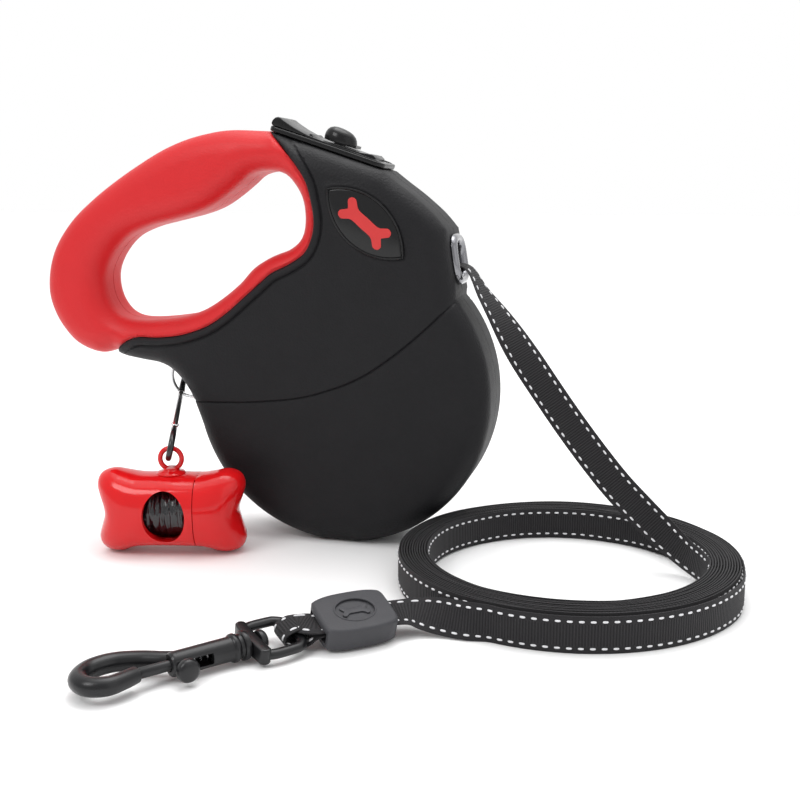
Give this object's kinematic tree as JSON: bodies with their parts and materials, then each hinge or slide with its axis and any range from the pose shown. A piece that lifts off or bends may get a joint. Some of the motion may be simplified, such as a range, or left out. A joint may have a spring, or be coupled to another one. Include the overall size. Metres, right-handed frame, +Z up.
{
  "type": "retractable leash",
  "caption": "Retractable tape leash with a loop handle, brake button and lock, webbing tape with a bolt snap, and a bone-shaped bag dispenser on a carabiner.",
  "frame": {"origin": "on the floor under the reel axis, on the casing's parting plane", "axes": "+X from the reel towards the tape outlet, +Y away from the badge side that the tape and dispenser lie on, +Z up"},
  "size_m": [0.2835, 0.1914, 0.167],
  "materials": {
    "shell": "fine moulded grain",
    "grip": "soft-touch, satin",
    "button": "gloss",
    "badge": "gloss with a plain bone emblem",
    "reel": "moulded",
    "steel": "bright",
    "outlet": "dark smoked chrome",
    "webbing": "ribbed weave with reflective stitches",
    "sleeve": "matte",
    "hook": "black gunmetal gloss",
    "carabiner": "black gloss enamel",
    "gate": "polished",
    "dispenser": "gloss",
    "bags": "thin plastic film"
  },
  "bodies": {
    "casing": {"shell_front": "shell", "shell_back": "shell", "grip_front": "grip", "grip_back": "grip", "badge_front": "badge", "badge_back": "badge", "casing_screw_1": "steel", "casing_screw_2": "steel", "casing_screw_3": "steel", "casing_screw_4": "steel", "casing_screw_5": "steel", "outlet_eyelet": "outlet", "key_ring_post": "steel", "reel_axle": "steel", "roller_pin": "steel", "button_bezel": "button", "pawl_pin": "steel", "brake_spring": "steel", "tape_inside": "webbing", "tape_lead": "webbing", "tape_coil": "webbing", "tape_tail": "webbing", "tape_loop": "webbing", "tape_sleeve": "sleeve"},
    "reel": {"reel_drum": "reel", "reel_spring_case": "reel", "spring_cover": "reel", "power_spring": "steel", "tape_on_reel": "webbing"},
    "roller": {"guide_roller": "reel"},
    "button": {"brake_button": "button"},
    "lock": {"lock_slider": "button"},
    "pawl": {"brake_pawl": "reel"},
    "ring": {"key_ring": "steel"},
    "carabiner": {"carabiner_body": "carabiner"},
    "gate": {"carabiner_gate": "gate"},
    "dispenser": {"dispenser_body": "dispenser"},
    "cap": {"dispenser_cap": "dispenser"},
    "bags": {"bag_roll": "bags", "bag_core": "reel"},
    "eye": {"swivel_eye": "hook"},
    "hook": {"hook_body": "hook", "swivel_pin": "hook", "bolt_spring": "steel"},
    "bolt": {"hook_bolt": "hook"}
  },
  "joints": [
    {"name": "reel_spin", "type": "hinge", "parent": "casing", "child": "reel", "pos_m": [0, 0, 0.06], "axis": [0, 1, 0], "continuous": true},
    {"name": "guide_roller_spin", "type": "hinge", "parent": "casing", "child": "roller", "pos_m": [0.0361, 0, 0.1022], "axis": [0, 1, 0], "continuous": true},
    {"name": "brake_press", "type": "slide", "parent": "casing", "child": "button", "axis": [-0.3131, 0, -0.9497], "range_m": [0, 0.002], "stiffness_N_per_m": 500, "springref_m": -0.002},
    {"name": "pawl_swing", "type": "hinge", "parent": "casing", "child": "pawl", "pos_m": [0, 0, 0.1195], "axis": [0, 1, 0], "range_deg": [0, 12.7]},
    {"name": "lock_slide", "type": "slide", "parent": "button", "child": "lock", "axis": [0.9497, 0, -0.3131], "range_m": [0, 0.004]},
    {"name": "key_ring_swing", "type": "hinge", "parent": "casing", "child": "ring", "pos_m": [-0.069, 0, 0.0684], "axis": [0, 1, 0], "range_deg": [-4, 15]},
    {"name": "carabiner_swing", "type": "hinge", "parent": "ring", "child": "carabiner", "pos_m": [-0.07388, 0, 0.05549], "axis": [0.8191, 0, -0.5736], "range_deg": [-3, 3]},
    {"name": "gate_open", "type": "hinge", "parent": "carabiner", "child": "gate", "pos_m": [-0.06167, -0.0321, 0.04896], "axis": [-0.8955, -0.3857, 0.2222], "range_deg": [0, 18], "stiffness_Nm_per_rad": 0.02, "springref_deg": -5.73},
    {"name": "dispenser_swing", "type": "hinge", "parent": "carabiner", "child": "dispenser", "pos_m": [-0.06054, -0.03921, 0.04118], "axis": [0.9781, 0.2079, 0], "range_deg": [-4, 4]},
    {"name": "cap_pull", "type": "slide", "parent": "dispenser", "child": "cap", "axis": [0.9781, 0.2079, 0], "range_m": [0, 0.012]},
    {"name": "bag_roll_spin", "type": "hinge", "parent": "dispenser", "child": "bags", "pos_m": [-0.06582, -0.04034, 0.0168], "axis": [0.9781, 0.2079, 0], "continuous": true},
    {"name": "eye_swing", "type": "hinge", "parent": "casing", "child": "eye", "pos_m": [0.01626, -0.11562, 0.005], "axis": [0.7544, -0.633, -0.1736], "range_deg": [-4, 6]},
    {"name": "hook_swivel", "type": "hinge", "parent": "eye", "child": "hook", "pos_m": [0.0052, -0.1288, 0.005], "axis": [-0.6428, -0.766, 0], "continuous": true},
    {"name": "bolt_slide", "type": "slide", "parent": "hook", "child": "bolt", "axis": [0.6428, 0.766, 0], "range_m": [0, 0.008], "stiffness_N_per_m": 250, "springref_m": -0.004, "deforming": ["bolt_spring"]}
  ],
  "couplings": [
    {"joint": "pawl_swing", "follows": "brake_press", "rad_per_m": 110}
  ]
}
